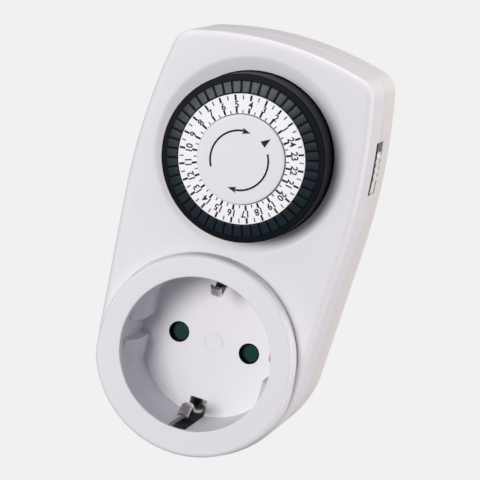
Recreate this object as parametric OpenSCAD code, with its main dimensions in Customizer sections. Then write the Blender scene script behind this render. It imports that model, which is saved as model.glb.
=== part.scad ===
// Mechanical 24-hour plug-in timer switch: a two-shell housing with a socket
// in front, a plug behind, and a dial of half-hour tappets driven by a motor.
// It is drawn lying on its plug: x to the right, y up the housing, z out of
// the plug's face towards the viewer. upright() then stands every piece up.

/* [Housing] */
// Height of the top edge above the socket's axis
housing_top = 79.7; // [78:0.1:84]
// Radius of the round lower end
bottom_r = 26.8; // [26.3:0.1:28]
// Radius of the socket's collar, which stands on the lower end
collar_r = 25.8; // [25.5:0.1:26.2]
// Lean of the straight sides, in degrees
side_lean = 3.4; // [2.8:0.1:3.8]
// Height at which the sides are widest
side_y = 42; // [38:1:46]
// Radius of the bowed upper sides
side_r = 157; // [145:1:170]
// Radius of the arched top
top_r = 84; // [78:1:120]
// Radius of the two upper corners
corner_r = 5.5; // [4:0.1:8]
// Depth of the rear shell, behind the parting line
rear_depth = 13; // [12.6:0.1:15]
// Depth of the front shell, without the collar
front_depth = 13.5; // [13.2:0.1:15]
// Wall thickness of both shells
wall = 2; // [1.6:0.1:2.2]
// Radius of the rounded front and rear edges
edge = 1.4; // [0.6:0.1:1.8]
// Width of the shadow gap at the parting line
part_gap = 0.1; // [0.05:0.05:0.2]

/* [Socket] */
// Distance between the two contact holes, and between the plug's pins
pin_spacing = 19; // [18.8:0.1:19.2]
// Radius of the socket recess
recess_r = 19.4; // [19.2:0.1:19.8]
// Depth of the socket recess below the collar
recess_depth = 17.5; // [17.3:0.1:18]
// Radius of a contact hole
hole_r = 2.7; // [2.6:0.1:2.8]
// Thickness of the recess floor
floor_t = 1.6; // [1.2:0.1:1.8]
// Thickness of the recess wall
recess_wall = 1.5; // [1.2:0.1:1.6]
// Reach of the keying blocks in from the recess wall
key_reach = 2.6; // [2:0.1:3]
// Height of the notch between two keying blocks
key_notch = 5.4; // [5:0.1:6]
// Height over both keying blocks of a side
key_height = 20; // [18:0.5:22]

/* [Plug] */
// Radius of the round plug behind the housing
plug_r = 19; // [18.5:0.1:19.2]
// Length of the round plug
plug_len = 17; // [16.5:0.1:18]
// Radius of a plug pin
pin_r = 2.4; // [2.35:0.05:2.45]
// Free length of a plug pin
pin_len = 19; // [18.5:0.1:19.5]
// Radius of the hollow inside the plug
plug_hollow_r = 14.6; // [14.4:0.1:15]

/* [Dial] */
// Height of the dial's axis above the socket's axis
dial_y = 51; // [50.6:0.1:52]
// Radius of the dial drum
drum_r = 20.4; // [20.3:0.05:20.5]
// How far the drum stands out of the front face
drum_proud = 7.5; // [7:0.1:9]
// Length of the drum
drum_len = 16; // [15.6:0.1:16.4]
// Number of half-hour tappets
tappet_count = 48; // [48]
// Width of the drum's rim outside the tappets
rim_w = 1.5; // [1.3:0.1:1.6]
// Radial thickness of a tappet
tappet_depth = 2.7; // [2.5:0.1:2.8]
// Thickness of the fins between the tappets
fin_t = 0.45; // [0.4:0.05:0.6]
// Travel of a tappet
tappet_travel = 2.4; // [2:0.1:2.5]
// Radius of the printed scale ring
scale_r = 15.8; // [15.4:0.1:15.9]
// Radius of the fixed centre disc
disc_r = 10.9; // [10:0.1:11.2]
// Thickness of the scale ring
scale_t = 1.4; // [1.2:0.1:1.5]
// Thickness of the centre disc, which stands a little above the ring
disc_t = 1.6; // [1.5:0.1:1.8]
// Radius of the stud that the drum turns on
stud_r = 5; // [4.6:0.1:5.4]
// Radius of the shallow dish round the dial
dish_r = 23.7; // [23:0.1:24.4]
// Depth of the dish
dish_depth = 1.1; // [0.9:0.1:1.8]

/* [Gear train] */
// Teeth round the back of the drum
drum_teeth = 84; // [84]
// Teeth of the pinion that turns the drum
drum_pinion_teeth = 14; // [14]
// Tooth module of that pair
drum_module = 0.5; // [0.5]
// Module of the two inner pairs
gear_module = 0.4; // [0.4]
// Teeth of the third wheel, on the drum pinion's shaft
third_teeth = 48; // [48]
// Teeth of the pinion that turns the third wheel
third_pinion_teeth = 12; // [12]
// Teeth of the second wheel
second_teeth = 40; // [40]
// Teeth of the motor's pinion
motor_teeth = 10; // [10]
// Radius of the sealed motor's case
motor_r = 13; // [12.6:0.1:13.1]

/* [Override switch] */
// Height of the slot's lower end
slot_low = 48; // [47:0.1:49]
// Height of the slot's upper end
slot_high = 61.3; // [61.3:0.1:63]
// Width of the slot, across the parting line
slot_w = 5; // [4.6:0.1:5.2]
// Travel of the slider
slider_travel = 2.6; // [2.2:0.1:2.6]
// Number of grip ribs
rib_count = 4; // [3:1:4]
// Distance between the grip ribs
rib_pitch = 1.8; // [1.6:0.1:1.9]

/* [Clearances] */
// Gap round the drum in its opening
drum_gap = 0.4; // [0.3:0.05:0.4]
// Running clearance between a shaft and its bore, on the radius
run_gap = 0.06; // [0.05:0.01:0.09]
// Clearance of a sliding or loosely seated piece
slide_gap = 0.2; // [0.15:0.01:0.22]

/* [Hidden] */
$fn = 48;
eps = 0.01;
hours = 24;
per_hour = tappet_count / hours;
function tappet_name(h) = str("tappets_hour_", h < 10 ? "0" : "", h);

// ---- levels out of the plug's face ----
back_z = plug_len;
rear_in_z = back_z + wall;
part_z = back_z + rear_depth;
front_z = part_z + front_depth;
front_in_z = front_z - wall;
floor_z = part_z;
floor_back_z = floor_z - floor_t;
collar_z = floor_z + recess_depth;
drum_z = front_z + drum_proud;
drum_back_z = drum_z - drum_len;

// ---- the housing's outline: bowed sides, arched top and rounded corners ----
side_c = [(bottom_r - side_r + side_y * sin(side_lean)) / cos(side_lean), side_y];
top_c = [0, housing_top - top_r];
corner_c = meet(side_c, side_r - corner_r, top_c, top_r - corner_r);
side_end = bearing(corner_c - side_c);
top_start = bearing(corner_c - top_c);
arc_step = 4;

function polar(r, a) = r * [cos(a), sin(a)];
function bearing(v) = atan2(v[1], v[0]);
function arc(c, r, a0, a1) = let (n = max(2, ceil(abs(a1 - a0) * max(r / 40, 0.5) / arc_step)))
    [for (i = [0:n]) c + polar(r, a0 + (a1 - a0) * i / n)];
function flip(points) = [for (i = [len(points) - 1:-1:0]) [-points[i][0], points[i][1]]];
// where two circles meet, on the right of the line from the second to the first
function meet(c1, r1, c2, r2) =
    let (v = c2 - c1, d = norm(v), a = (d * d + r1 * r1 - r2 * r2) / (2 * d), h = sqrt(r1 * r1 - a * a))
    c1 + a * v / d + h * [-v[1], v[0]] / d;

// upper part of the outline, drawn in by inset
function upper_points(inset) =
    let (right = concat(
        [polar(bottom_r - inset, -side_lean)],
        arc(side_c, side_r - inset, -side_lean, side_end),
        arc(corner_c, corner_r - inset, side_end, top_start),
        arc(top_c, top_r - inset, top_start, 90)))
    concat(right, flip(right));
module outline(inset = 0) {
    circle(bottom_r - inset, $fn = 96);
    polygon(upper_points(inset));
}
// half width of the housing at a height on its bowed sides
function half_width(y) = side_c[0] + sqrt(side_r * side_r - (y - side_y) * (y - side_y));

// ---- places inside the housing ----
dial_c = [0, dial_y];
well_r = recess_r + recess_wall;
drum_mesh = drum_module * (drum_teeth + drum_pinion_teeth) / 2;
third_mesh = gear_module * (third_teeth + third_pinion_teeth) / 2;
second_mesh = gear_module * (second_teeth + motor_teeth) / 2;
third_way = 235;
second_way = 30;
motor_way = 35;
third_c = dial_c + polar(drum_mesh, third_way);
second_c = third_c + polar(third_mesh, second_way);
pinion_c = second_c + polar(second_mesh, motor_way);
motor_c = dial_c - [0, 0.5];
boss_r = 2.6;
screw_r = 1.25;
upper_boss = [19.5, dial_y + 19.5];
lower_boss = [21.2, 17.5];
boss_spots = [upper_boss, [-upper_boss[0], upper_boss[1]], lower_boss, [-lower_boss[0], lower_boss[1]]];
post_spots = [dial_c + [-19.5, 7], dial_c + [12, 16.5], dial_c + [5, -23.5]];
post_r = 2.2;

// ---- levels of the mechanism ----
plate_z = floor_back_z;
plate_t = 1.2;
plate_top = plate_z + plate_t;
second_z = plate_top + 0.4;
third_z = second_z + 1.5;
wheel_t = 1;
tip_rest_z = drum_back_z + 1.2;
tip_in_z = tip_rest_z - tappet_travel;
tappet_face_z = drum_z - 0.4;
tooth_len = 2.6;
lever_top = plate_top + 3;
lever_t = 1.2;

// ---- gears ----
// a tooth is thinned to leave backlash, and its flanks are straight
tooth_share = 0.8;
addendum = 0.85;
dedendum = 1.15;
flank = tan(20);
function gear_points(m, teeth, phase) =
    let (rp = m * teeth / 2, ra = rp + addendum * m, rf = rp - dedendum * m,
        half = PI * m / 4 * tooth_share,
        tip_w = (half - addendum * m * flank) / ra * 180 / PI,
        root_w = (half + 0.75 * dedendum * m * flank) / rf * 180 / PI)
    [for (i = [0:teeth - 1]) let (a = phase + 360 * i / teeth)
        each [polar(rf, a - root_w), polar(ra, a - tip_w), polar(ra, a + tip_w), polar(rf, a + root_w)]];
// phase of a gear that meshes with another, which lies the other way along the bearing
function mesh_phase(way, teeth1, phase1, teeth2) = way + 180 + 180 / teeth2 + (way - phase1) * teeth1 / teeth2;
drum_phase = 0;
third_phase = mesh_phase(third_way, drum_teeth, drum_phase, drum_pinion_teeth);
second_phase = mesh_phase(second_way, third_teeth, third_phase, third_pinion_teeth);
motor_phase = mesh_phase(motor_way, second_teeth, second_phase, motor_teeth);
module gear(m, teeth, phase, t) linear_extrude(t) polygon(gear_points(m, teeth, phase));

// ---- tappets ----
pitch = 360 / tappet_count;
tappet_out = drum_r - rim_w;
tappet_in = tappet_out - tappet_depth;
tip_w = 0.9;
// wedge between two fins, drawn in by gap on every side
function wedge(gap) =
    let (r0 = tappet_in + gap - slide_gap / 2, r1 = tappet_out - gap + slide_gap / 2,
        w0 = r0 * tan(pitch / 2) - fin_t / 2 - gap, w1 = r1 * tan(pitch / 2) - fin_t / 2 - gap)
    [[r0, -w0], [r1, -w1], [r1, w1], [r0, w0]];

// ---- override slider and follower ----
side_x = half_width((slot_low + slot_high) / 2);
side_in_x = side_x - wall;
flange_x = half_width(slot_high + 1.4) - wall - slide_gap;
slot_z = part_z - 1.1;
lever_x = tappet_out - tappet_depth / 2;
lever_axis_y = dial_y - 10;
lever_axis_z = plate_top + 1.2;
cam_slope = 0.6;
cam_y = lever_axis_y + 14.4;
blade_axis_y = lever_axis_y - 3;
blade_z = plate_top - 0.8;
blade_t = 0.4;
blade_x = lever_x;
blade_w = 2.4;
contact_y = blade_axis_y + 21.5;
contact_gap = 1.9;

// ---- conductors ----
strip_t = 0.8;
strip_w = 5;
pin_x = pin_spacing / 2;
pin_seat_r = pin_r + 0.2;
foot_z = 4.5;
cap_t = 2.5;
clip_w = 4;
clip_y = plug_r - 1.4;
carrier_z = floor_back_z - 3.2;
tulip_low = carrier_z - 11.2;
tulip_high = carrier_z - 0.3;
carrier_t = 1.4;
shutter_t = 1.2;
shutter_z = carrier_z + carrier_t + 0.3;

module upright() rotate([90, 0, 0]) children();
module at(p, z) translate([p[0], p[1], z]) children();
module ring(r_out, r_in, t) difference() {
    cylinder(r = r_out, h = t);
    translate([0, 0, -eps]) cylinder(r = r_in, h = t + 2 * eps);
}
// block between two corners
module block(a, b) translate(a) cube(b - a);

// ================= housing =================
// rounded edge in steps: each slab is drawn in along a quarter circle
edge_steps = 4;
module round_edge(z, towards) for (i = [1:edge_steps]) {
    rise = edge * sin(90 * i / edge_steps);
    inset = edge * (1 - cos(90 * (i - 0.5) / edge_steps));
    translate([0, 0, towards > 0 ? z - eps : z - rise]) linear_extrude(rise + eps) outline(inset);
}
module slot_cut(z0, z1)
    block([side_in_x - 3, slot_low, z0], [side_x + 3, slot_high, z1]);
// strips of the earth clips pass the floor and the wall of the recess here
module clip_slots(gap) for (s = [-1, 1])
    block([-clip_w / 2 - gap, min(s * 15, s * (well_r + 1)), carrier_z - 8],
          [clip_w / 2 + gap, max(s * 15, s * (well_r + 1)), collar_z - 5.5]);

module front_shell() color("#e3e1e6") upright() difference() {
    union() {
        // outer skin, hollowed from behind
        difference() {
            union() {
                translate([0, 0, part_z + part_gap])
                    linear_extrude(front_depth - edge - part_gap) outline();
                round_edge(front_z - edge, 1);
                translate([0, 0, part_z + part_gap])
                    cylinder(r = collar_r, h = collar_z - part_z - part_gap - 0.8);
                translate([0, 0, collar_z - 0.8]) cylinder(r1 = collar_r, r2 = collar_r - 0.8, h = 0.8);
            }
            translate([0, 0, part_z - 1]) linear_extrude(front_in_z - part_z + 1) outline(wall);
            translate([0, 0, part_z - 1]) cylinder(r = collar_r - wall, h = collar_z - wall - part_z + 1);
        }
        // wall and floor of the recess
        translate([0, 0, floor_back_z]) cylinder(r = well_r, h = collar_z - floor_back_z - wall / 2);
        // ring behind the dish
        at(dial_c, front_z - dish_depth - 1.7) cylinder(r = dish_r + 1, h = 1.7 + dish_depth - edge);
        // screw bosses
        for (p = boss_spots) at(p, part_z + 0.3) cylinder(r = boss_r, h = front_in_z - part_z);
    }
    difference() {
        translate([0, 0, floor_z]) cylinder(r = recess_r, h = recess_depth + 1);
        for (side = [-1, 1], up = [-1, 1])
            key_block(side, up);
    }
    for (side = [-1, 1]) translate([side * pin_x, 0, floor_back_z - 1]) cylinder(r = hole_r, h = floor_t + 2);
    at(dial_c, front_z - dish_depth) cylinder(r1 = drum_r + drum_gap, r2 = dish_r, h = dish_depth + eps);
    at(dial_c, part_z) cylinder(r = drum_r + drum_gap, h = front_depth + 1);
    for (p = boss_spots) at(p, part_z - 1) cylinder(r = screw_r, h = 8);
    clip_slots(0.3);
    slot_cut(part_z - 2, slot_z + slot_w / 2 + 0.2);
}
// keying block on one side of the recess, above or below its notch
module key_block(side, up) {
    x0 = recess_r - key_reach;
    block([min(side * x0, side * (recess_r + 1)), min(up * key_notch / 2, up * key_height / 2), floor_z - 1],
          [max(side * x0, side * (recess_r + 1)), max(up * key_notch / 2, up * key_height / 2), collar_z - 3.5]);
}

module rear_shell() color("#dcd9d8") upright() difference() {
    union() {
        difference() {
            union() {
                translate([0, 0, back_z + edge]) linear_extrude(rear_depth - edge) outline();
                round_edge(back_z + edge, -1);
            }
            translate([0, 0, rear_in_z]) linear_extrude(rear_depth) outline(wall);
        }
        // round plug body
        cylinder(r = plug_r, h = back_z + 1);
        for (p = boss_spots) at(p, back_z + 1) cylinder(r = boss_r, h = rear_depth - 1);
        for (p = post_spots) at(p, back_z + 1) cylinder(r = post_r, h = plate_z - back_z - 1);
        // seats of the lever's pin
        for (x = [lever_x - 2.7, lever_x + 1.5])
            difference() {
                block([x, lever_axis_y - 1.4, back_z + 1], [x + 1.2, lever_axis_y + 1.4, lever_axis_z + 1.2]);
                translate([x - 1, lever_axis_y, lever_axis_z]) rotate([0, 90, 0]) cylinder(r = 0.8, h = 4);
            }
    }
    translate([0, 0, cap_t]) cylinder(r = plug_hollow_r, h = back_z);
    for (side = [-1, 1]) translate([side * pin_x, 0, -1]) cylinder(r = pin_seat_r, h = cap_t + 2);
    // channels of the earth contacts, top and bottom of the plug
    for (s = [-1, 1])
        block([-clip_w / 2 - 0.5, min(s * (clip_y - 1.2), s * (plug_r + 1)), -1],
              [clip_w / 2 + 0.5, max(s * (clip_y - 1.2), s * (plug_r + 1)), back_z - 1]);
    for (s = [-1, 1])
        block([-clip_w / 2 - 0.3, min(s * (clip_y - 1.2), s * (clip_y + 0.9)), back_z - 2],
              [clip_w / 2 + 0.3, max(s * (clip_y - 1.2), s * (clip_y + 0.9)), rear_in_z + 1]);
    // keying grooves at the plug's sides
    for (s = [-1, 1])
        block([min(s * 16.9, s * (plug_r + 1)), -2.6, -1], [max(s * 16.9, s * (plug_r + 1)), 2.6, back_z]);
    for (p = boss_spots) {
        at(p, back_z - 1) cylinder(r = screw_r + 0.25, h = rear_depth + 2);
        at(p, back_z - 1) cylinder(r = 2, h = 3.2);
    }
    for (p = post_spots) at(p, back_z + 4) cylinder(r = 0.9, h = rear_depth);
    slot_cut(slot_z - slot_w / 2, part_z + 2);
}

// Screws with a round head, seated from behind
module housing_screws() color("silver") upright() for (p = boss_spots) {
    at(p, back_z + 0.6) difference() {
        cylinder(r = 1.9, h = 1.6);
        translate([-0.2, -1.4, -eps]) cube([0.4, 2.8, 0.8]);
    }
    at(p, back_z + 2.2) cylinder(r = screw_r - 0.05, h = rear_depth + 3);
}

// ================= socket =================
// Twin-winged plate that closes the contact holes and turns aside
module shutter() color("#0f3a36") upright() translate([0, 0, shutter_z]) difference() {
    union() {
        intersection() {
            block([-13, -3.4, 0], [13, 3.4, shutter_t]);
            cylinder(r = 13, h = shutter_t);
        }
        cylinder(r = 4, h = shutter_t);
    }
    translate([0, 0, -1]) cylinder(r = 1.5 + run_gap, h = 3);
}

// sweep of a round wire along points, closed at both ends
module wire(points, r, sides = 6) {
    n = len(points);
    rings = [for (i = [0:n - 1])
        let (t = points[min(i + 1, n - 1)] - points[max(i - 1, 0)], u = t / norm(t),
            a = abs(u[2]) > 0.9 ? [1, 0, 0] : [0, 0, 1], v = cross(a, u) / norm(cross(a, u)), w = cross(u, v))
        for (k = [0:sides - 1]) points[i] + r * (cos(360 * k / sides) * v + sin(360 * k / sides) * w)];
    faces = concat(
        [[for (k = [0:sides - 1]) k]],
        [[for (k = [sides - 1:-1:0]) (n - 1) * sides + k]],
        [for (i = [0:n - 2], k = [0:sides - 1]) each [
            [i * sides + k, (i + 1) * sides + k, (i + 1) * sides + (k + 1) % sides],
            [i * sides + k, (i + 1) * sides + (k + 1) % sides, i * sides + (k + 1) % sides]]]);
    polyhedron(rings, faces);
}
spring_r = 2.3;
spring_wire = 0.2;
spring_turns = 3;
spring_z = carrier_z - 1.9;
spring_steps = 8;
// Torsion spring of the shutter, coiled round the foot of its post
module shutter_spring() color("silver") upright()
    wire([for (i = [0:spring_turns * spring_steps])
        [spring_r * cos(360 * i / spring_steps), spring_r * sin(360 * i / spring_steps),
         spring_z + 1.5 * i / (spring_turns * spring_steps)]], spring_wire);

// Insulating plate behind the floor: it carries the shutter's post
module contact_carrier() color("#c9cac6") upright() difference() {
    union() {
        translate([0, 0, carrier_z]) cylinder(r = well_r - 0.4, h = carrier_t);
        // rim that seats against the back of the floor
        translate([0, 0, carrier_z]) ring(well_r - 0.4, well_r - 2.4, floor_back_z - carrier_z);
        translate([0, 0, carrier_z - 2.2]) cylinder(r = 1.5, h = floor_back_z - carrier_z + 2.2 - 0.1);
    }
    for (side = [-1, 1]) translate([side * pin_x, 0, carrier_z - 1]) cylinder(r = hole_r + 0.2, h = 4);
    clip_slots(0.3);
}

// Spring sleeve that grips a pin of the plug that is put in
module tulip(side) translate([side * pin_x, 0, 0]) difference() {
    translate([0, 0, tulip_low]) cylinder(r = pin_r + 0.9, h = tulip_high - tulip_low);
    translate([0, 0, tulip_low - 1]) cylinder(r = pin_r + 0.02, h = 20);
    for (a = [45, 135]) rotate([0, 0, a]) translate([-5, -0.3, tulip_low + 4]) cube([10, 0.6, 20]);
}
module line_contact() color("#c8a04a") upright() tulip(1);
module neutral_contact() color("#c8a04a") upright() tulip(-1);

// Plug pin: round nose, stem, collar behind the plug's end wall and a rivet
module plug_pin(side) translate([side * pin_x, 0, 0]) {
    nose = 1.2;
    translate([0, 0, nose - pin_len]) cylinder(r = pin_r, h = pin_len - nose);
    cylinder(r = pin_seat_r - 0.02, h = cap_t);
    translate([0, 0, -pin_len]) cylinder(r1 = pin_r - nose, r2 = pin_r, h = nose);
    translate([0, 0, cap_t]) cylinder(r = pin_seat_r + 0.6, h = foot_z - cap_t);
    translate([0, 0, foot_z]) cylinder(r = 1.4, h = strip_t + 0.5);
}
module line_pin() color("silver") upright() plug_pin(1);
module neutral_pin() color("silver") upright() plug_pin(-1);

// foot of a bar, riveted on the collar of a pin
module bar_foot(side, y) difference() {
    block([side * pin_x - strip_w / 2, min(-2.5, y), foot_z],
          [side * pin_x + strip_w / 2, max(2.5, y), foot_z + strip_t]);
    translate([side * pin_x, 0, foot_z - 1]) cylinder(r = 1.4 + 0.02, h = 3);
}
riser_y = pin_r + 1;
module neutral_bar() color("#c8a04a") upright() {
    bar_foot(-1, riser_y + strip_t);
    block([-pin_x - strip_w / 2, riser_y, foot_z], [-pin_x + strip_w / 2, riser_y + strip_t, tulip_high - 2]);
}
in_y = 7.2;
in_z = rear_in_z + 1.2;
in_x = pin_x + strip_w / 2;
module line_in_bar() color("#c8a04a") upright() {
    bar_foot(1, in_y + strip_t);
    block([in_x - 4, in_y, foot_z], [in_x, in_y + strip_t, in_z + strip_t]);
    block([in_x - 4, in_y, in_z], [in_x, blade_axis_y, in_z + strip_t]);
    block([in_x - 4, blade_axis_y - 3, in_z], [blade_x + blade_w / 2, blade_axis_y, in_z + strip_t]);
    block([blade_x - blade_w / 2, blade_axis_y - 2, in_z],
          [blade_x + blade_w / 2, blade_axis_y - 2 + strip_t, blade_z - 0.1]);
    // shelf that the leaf's root lies on
    block([blade_x - blade_w / 2, blade_axis_y - 2, blade_z - 0.1 - strip_t],
          [blade_x + blade_w / 2, blade_axis_y + 0.5, blade_z - 0.1]);
}
out_z = in_z + 2;
out_x = in_x + 1.1;
out_w = 1.5;
module line_out_bar() color("#c8a04a") upright() {
    block([pin_x - strip_w / 2, -riser_y - strip_t, tulip_low], [pin_x + strip_w / 2, -riser_y, out_z + strip_t]);
    block([pin_x - strip_w / 2, -riser_y - 3.4, out_z], [out_x + out_w, -riser_y, out_z + strip_t]);
    block([out_x, -riser_y - 3.4, out_z], [out_x + out_w, contact_y + 1.5, out_z + strip_t]);
    block([out_x, contact_y - 1.5, out_z], [blade_x + blade_w / 2, contact_y + 1.5, out_z + strip_t]);
    translate([blade_x, contact_y, out_z + strip_t])
        cylinder(r = 1.2, h = blade_z - 0.8 - contact_gap - out_z - strip_t - 0.2);
}

// Bent spring strip: contact of the plug behind, earth spring of the recess in front.
// Its centre line, as distance from the axis and level
clip_line = [[clip_y, 3], [clip_y, floor_z + 1], [clip_y - 2.6, floor_z + 6], [clip_y - 2, floor_z + 9],
    [clip_y + 0.8, floor_z + 11.4]];
function strip_side(line, d) = [for (i = [0:len(line) - 1])
    let (t = line[min(i + 1, len(line) - 1)] - line[max(i - 1, 0)]) line[i] + d * [t[1], -t[0]] / norm(t)];
module earth_clip(s) {
    side_a = strip_side(clip_line, strip_t / 2);
    side_b = strip_side(clip_line, -strip_t / 2);
    profile = concat(side_a, [for (i = [len(side_b) - 1:-1:0]) side_b[i]]);
    translate([clip_w / 2, 0, 0]) rotate([0, -90, 0]) linear_extrude(clip_w)
        polygon([for (p = profile) [p[1], s * p[0]]]);
}
module earth_clip_top() color("silver") upright() earth_clip(1);
module earth_clip_bottom() color("silver") upright() earth_clip(-1);
// Strip across the plug that joins the two earth clips
module earth_bridge() color("silver") upright()
    block([-clip_w / 2, -clip_y + strip_t / 2, back_z + 4], [clip_w / 2, clip_y - strip_t / 2, back_z + 4 + strip_t]);

// ================= mechanism =================
// Plate that carries the motor, the arbors and the dial's stud
module mechanism_plate() color("#d8d4c4") upright() difference() {
    union() {
        translate([0, 0, plate_z]) linear_extrude(plate_t) polygon([
            dial_c + [-22.5, -20], dial_c + [-18, -25.5], dial_c + [8, -26.5], dial_c + [14.4, -14],
            dial_c + [14.4, 19], dial_c + [-12, 19], dial_c + [-22.5, 10]]);
        at(dial_c, plate_z) cylinder(r = stud_r - run_gap, h = drum_z - 1.2 - plate_z - 0.1);
    }
    at(pinion_c, plate_z - 1) cylinder(r = 1.6, h = 4);
    at(third_c, plate_z - 1) cylinder(r = arbor_r, h = 4);
    at(second_c, plate_z - 1) cylinder(r = arbor_r, h = 4);
    for (p = post_spots) at(p, plate_z - 1) cylinder(r = 1.1, h = 4);
    // seat of the centre disc's stem
    at(dial_c, drum_z - 9) cylinder(r = 2, h = 10);
}
module mechanism_screws() color("silver") upright() for (p = post_spots) {
    at(p, plate_top) difference() {
        cylinder(r = 1.9, h = 1.2);
        translate([-0.2, -1.4, 0.6]) cube([0.4, 2.8, 1]);
    }
    at(p, plate_z - 6) cylinder(r = 0.9, h = 6 + plate_t);
}

arbor_r = 0.8;
module gear_arbors() color("silver") upright() {
    at(third_c, plate_z) cylinder(r = arbor_r, h = drum_back_z + tooth_len + 1.2 - plate_z);
    at(second_c, plate_z) cylinder(r = arbor_r, h = third_z + wheel_t + 1 - plate_z);
}
module third_gear() color("#e8e4d4") upright() difference() {
    union() {
        at(third_c, third_z) gear(gear_module, third_teeth, third_phase, wheel_t);
        at(third_c, third_z) cylinder(r = 2.4, h = drum_back_z - 0.2 - third_z);
        at(third_c, drum_back_z - 0.2) gear(drum_module, drum_pinion_teeth, third_phase, tooth_len + 0.4);
        at(third_c, plate_top + 0.2) cylinder(r = 1.8, h = third_z - plate_top);
    }
    at(third_c, plate_z) cylinder(r = arbor_r + run_gap, h = 20);
}
module second_gear() color("#e8e4d4") upright() difference() {
    union() {
        at(second_c, second_z) gear(gear_module, second_teeth, second_phase, wheel_t);
        at(second_c, second_z + wheel_t) gear(gear_module, third_pinion_teeth, second_phase, 2);
        at(second_c, plate_top + 0.2) cylinder(r = 1.8, h = 0.4);
    }
    at(second_c, plate_z) cylinder(r = arbor_r + run_gap, h = 20);
}

cover_t = 1.2;
box_z = plate_z - cover_t - 2.2;
case_z = rear_in_z + 0.4;
module motor_case() color("#b9bcc0") upright() at(motor_c, case_z) difference() {
    cylinder(r = motor_r, h = plate_z - cover_t - case_z);
    translate([0, 0, 0.7]) cylinder(r = motor_r - 0.7, h = 20);
    translate([0, 0, -1]) cylinder(r = 0.6 + run_gap, h = 3);
}
module motor_cover() color("#b9bcc0") upright() difference() {
    at(motor_c, plate_z - cover_t) cylinder(r = motor_r, h = cover_t);
    at(pinion_c, plate_z - cover_t - 1) cylinder(r = 1 + run_gap, h = 4);
}
module motor_coil() color("#b5651d") upright() at(motor_c, case_z + 0.7) ring(motor_r - 0.9, 8.2, box_z - case_z - 0.8);
module motor_rotor() color("#3b3b3d") upright() at(motor_c, 0) {
    translate([0, 0, case_z + 1.2]) cylinder(r = 7.6, h = box_z - case_z - 1.6);
    translate([0, 0, case_z]) cylinder(r = 0.6, h = box_z - case_z + 1);
}
module motor_gearbox() color("#d8d4c4") upright() difference() {
    at(motor_c, box_z) cylinder(r = motor_r - 0.8, h = 2.2);
    at(motor_c, box_z - 1) cylinder(r = 0.6 + run_gap, h = 2.4);
    at(pinion_c, box_z + 0.6) cylinder(r = 1 + run_gap, h = 4);
}
module motor_pinion() color("#d9b95c") upright() {
    at(pinion_c, box_z + 0.8) cylinder(r = 1, h = second_z - box_z);
    at(pinion_c, second_z - 0.1) gear(gear_module, motor_teeth, motor_phase, wheel_t + 0.2);
}

// ================= dial =================
web_z = drum_z - 3;
module dial_drum() color("#1b2328") upright() at(dial_c, 0) difference() {
    union() {
        translate([0, 0, drum_back_z]) cylinder(r = drum_r, h = drum_len);
        translate([0, 0, drum_back_z]) gear(drum_module, drum_teeth, drum_phase, tooth_len);
    }
    translate([0, 0, drum_back_z - 1]) cylinder(r = stud_r, h = 30);
    // hollow behind the web, round the hub
    translate([0, 0, drum_back_z - 1]) ring(tappet_in - 1, stud_r + 2, web_z - drum_back_z + 1);
    translate([0, 0, drum_z - 1.2]) cylinder(r = scale_r + 0.05, h = 2);
    for (i = [0:tappet_count - 1]) rotate([0, 0, pitch * (i + 0.5)])
        translate([0, 0, drum_back_z - 1]) linear_extrude(drum_len + 2) polygon(wedge(0));
}
module dial_scale() color("#f0eff2") upright()
    at(dial_c, drum_z - 1.2) ring(scale_r, disc_r + 0.2, scale_t);
// Fixed disc with a stem pressed into the stud
module centre_disc() color("#e9e7ea") upright() at(dial_c, 0) {
    translate([0, 0, drum_z - 0.9]) cylinder(r = disc_r, h = disc_t);
    translate([0, 0, drum_z - 1.3]) cylinder(r = stud_r - 0.2, h = 0.5);
    translate([0, 0, drum_z - 8]) cylinder(r = 2 - 0.02, h = 7.5);
}
module tappet(i) at(dial_c, 0) rotate([0, 0, pitch * (i + 0.5)]) {
    translate([0, 0, tip_rest_z + 2.3]) linear_extrude(tappet_face_z - tip_rest_z - 2.3)
        polygon(wedge(slide_gap / 2));
    translate([tappet_in + 0.5, -tip_w / 2, tip_rest_z]) cube([tappet_depth - 1, tip_w, 2.4]);
}
// The tappets of hour h of the scale: hours run counter-clockwise
first_way = 45;
module tappets(h) color("#3f4f57") upright()
    for (i = [0:per_hour - 1]) tappet(floor(first_way / pitch) + (h - 1) * per_hour + i);

// ================= switch =================
// Rocking lever: a nose that the tappets push, a tab for the slider, a nub on the leaf
module follower_lever() color("#c9cac6") upright() difference() {
    union() {
        block([lever_x - 1.2, lever_axis_y - 1, lever_top - lever_t], [lever_x + 1.2, dial_y + 7, lever_top]);
        block([lever_x - 1.2, lever_axis_y - 1.2, lever_axis_z - 1.4],
              [lever_x + 1.2, lever_axis_y + 1.2, lever_top - lever_t + eps]);
        // nose between two tappets' tips
        translate([lever_x - 1, dial_y, 0]) rotate([90, 0, 90]) linear_extrude(2)
            polygon([[-0.6, lever_top - eps], [0.6, lever_top - eps], [0.1, tip_in_z + 0.8], [-0.1, tip_in_z + 0.8]]);
        block([lever_x, cam_y, lever_top - lever_t],
              [flange_x - flange_t - 0.4, cam_y + 1.2, lever_top]);
        block([lever_x - 0.6, dial_y + 5.6, blade_z + blade_t + 0.3], [lever_x + 0.6, dial_y + 6.4, lever_top]);
    }
    translate([lever_x - 3, lever_axis_y, lever_axis_z]) rotate([0, 90, 0]) cylinder(r = 0.75 + run_gap, h = 6);
}
module lever_pin() color("silver") upright()
    translate([lever_x - 2.7, lever_axis_y, lever_axis_z]) rotate([0, 90, 0]) cylinder(r = 0.75, h = 5.4);
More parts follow.
